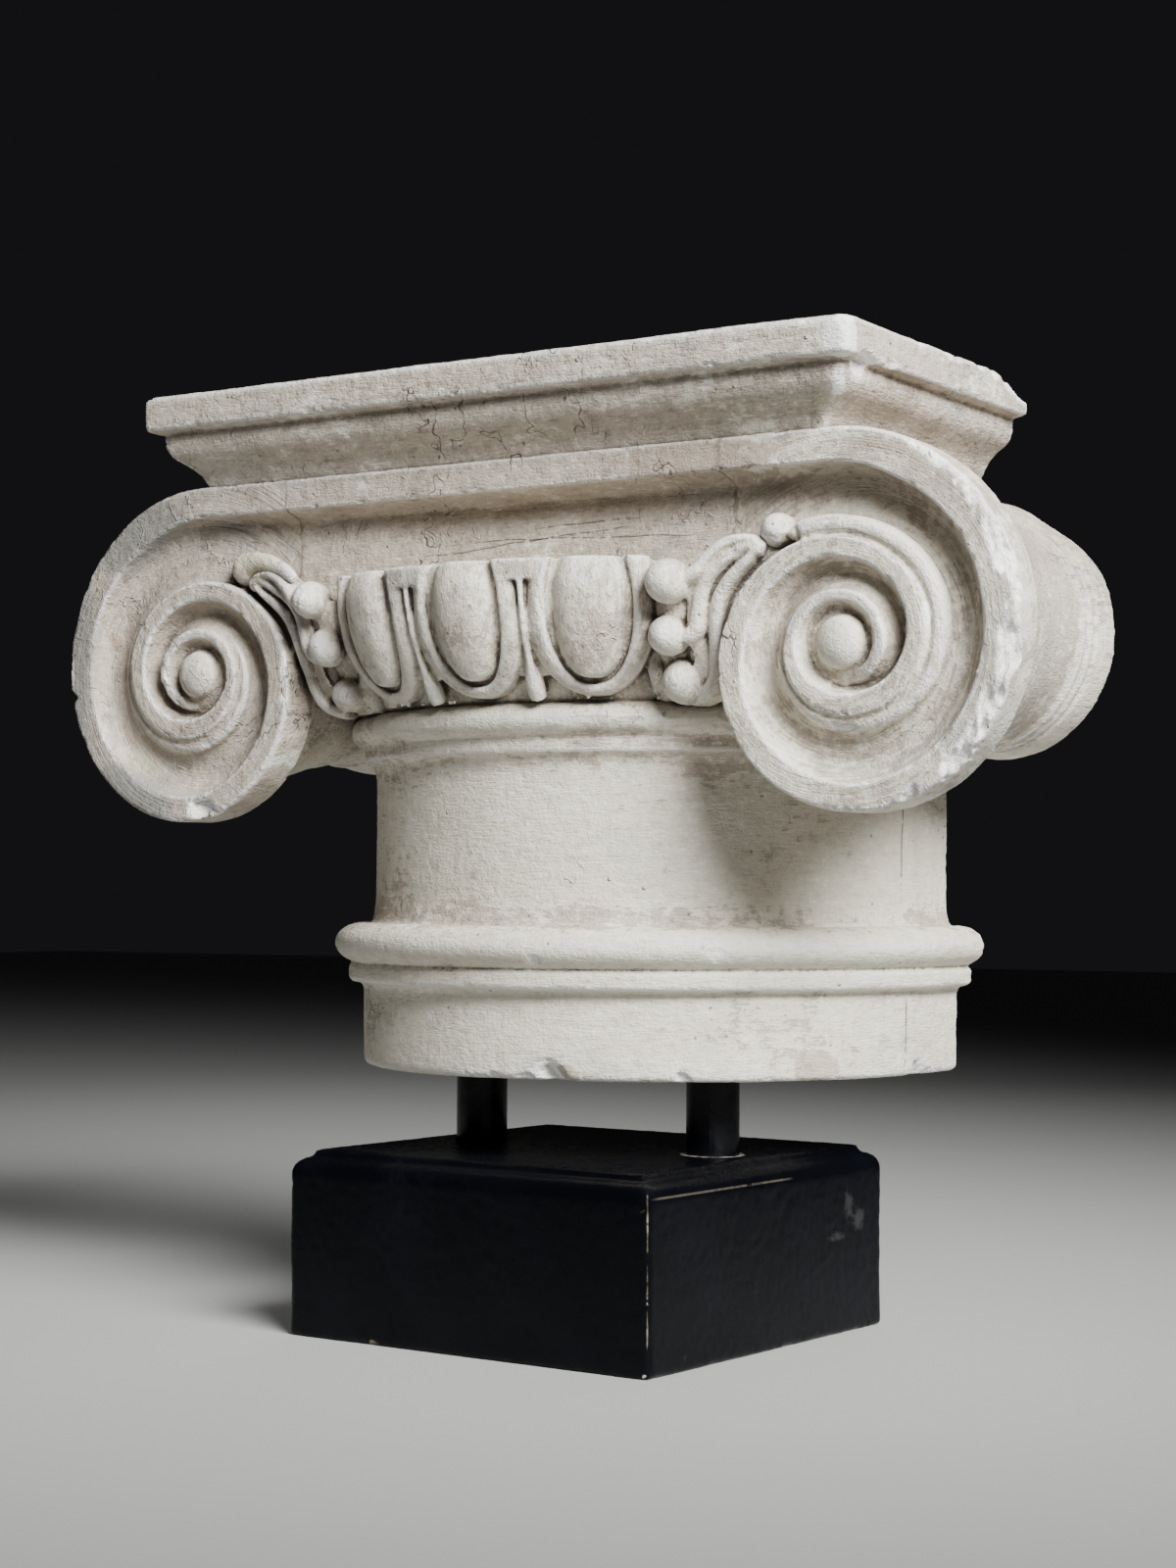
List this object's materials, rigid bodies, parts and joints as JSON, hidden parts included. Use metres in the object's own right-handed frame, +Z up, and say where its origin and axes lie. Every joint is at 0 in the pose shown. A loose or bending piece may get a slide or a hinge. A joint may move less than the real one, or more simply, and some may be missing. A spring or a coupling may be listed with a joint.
{
  "type": "ionic capital",
  "caption": "Half of an ionic capital cast in plaster, with scrolls, eggs and darts and a moulded neck, held on rods above a square black plinth.",
  "frame": {"origin": "the middle of the plinth's underside, on the surface that the object stands on", "axes": "+X to the capital's right along its width, +Y towards its flat cut back, +Z up; the carved face looks along -Y"},
  "size_m": [0.519, 0.2224, 0.45],
  "materials": {
    "plaster": "matt painted plaster, worn and chipped",
    "plinth_paint": "satin black paint on wood, chipped at the corners",
    "rod_paint": "satin black paint"
  },
  "bodies": {
    "root": {"capital": "plaster", "plinth": "plinth_paint", "rod_left": "rod_paint", "rod_right": "rod_paint"}
  },
  "joints": []
}
